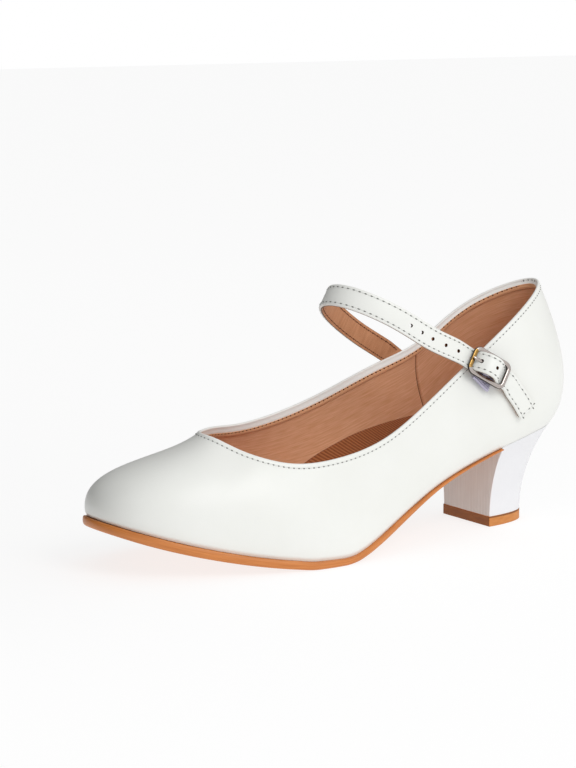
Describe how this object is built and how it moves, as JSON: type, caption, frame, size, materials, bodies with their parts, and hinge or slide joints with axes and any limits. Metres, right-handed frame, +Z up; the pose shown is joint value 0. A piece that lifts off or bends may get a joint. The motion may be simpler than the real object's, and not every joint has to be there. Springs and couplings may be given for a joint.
{
  "type": "character shoe",
  "caption": "Left character shoe: low-cut smooth leather pump with a rounded toe, a buckled instep strap and a curved covered heel on a thin sole.",
  "frame": {"origin": "middle of the shoe's bounding box, on the floor plane under it", "axes": "+Z up from the floor, +Y from the toe to the heel, +X towards the buckle on the outer side of the left foot"},
  "size_m": [0.0797, 0.2344, 0.1106],
  "materials": {
    "white_leather": "smooth, satin",
    "heel_cover": "smooth, satin",
    "tan_sole": "waxed edge",
    "tan_lining": "matt",
    "nickel": "polished nickel",
    "white_elastic": "ribbed"
  },
  "bodies": {
    "root": {"upper": "white_leather", "outsole": "tan_sole", "insole": "tan_lining", "heel": "heel_cover", "heel_tip": "tan_sole", "strap": "white_leather", "buckle_frame": "nickel", "buckle_prong": "nickel", "elastic": "white_elastic"}
  },
  "joints": []
}
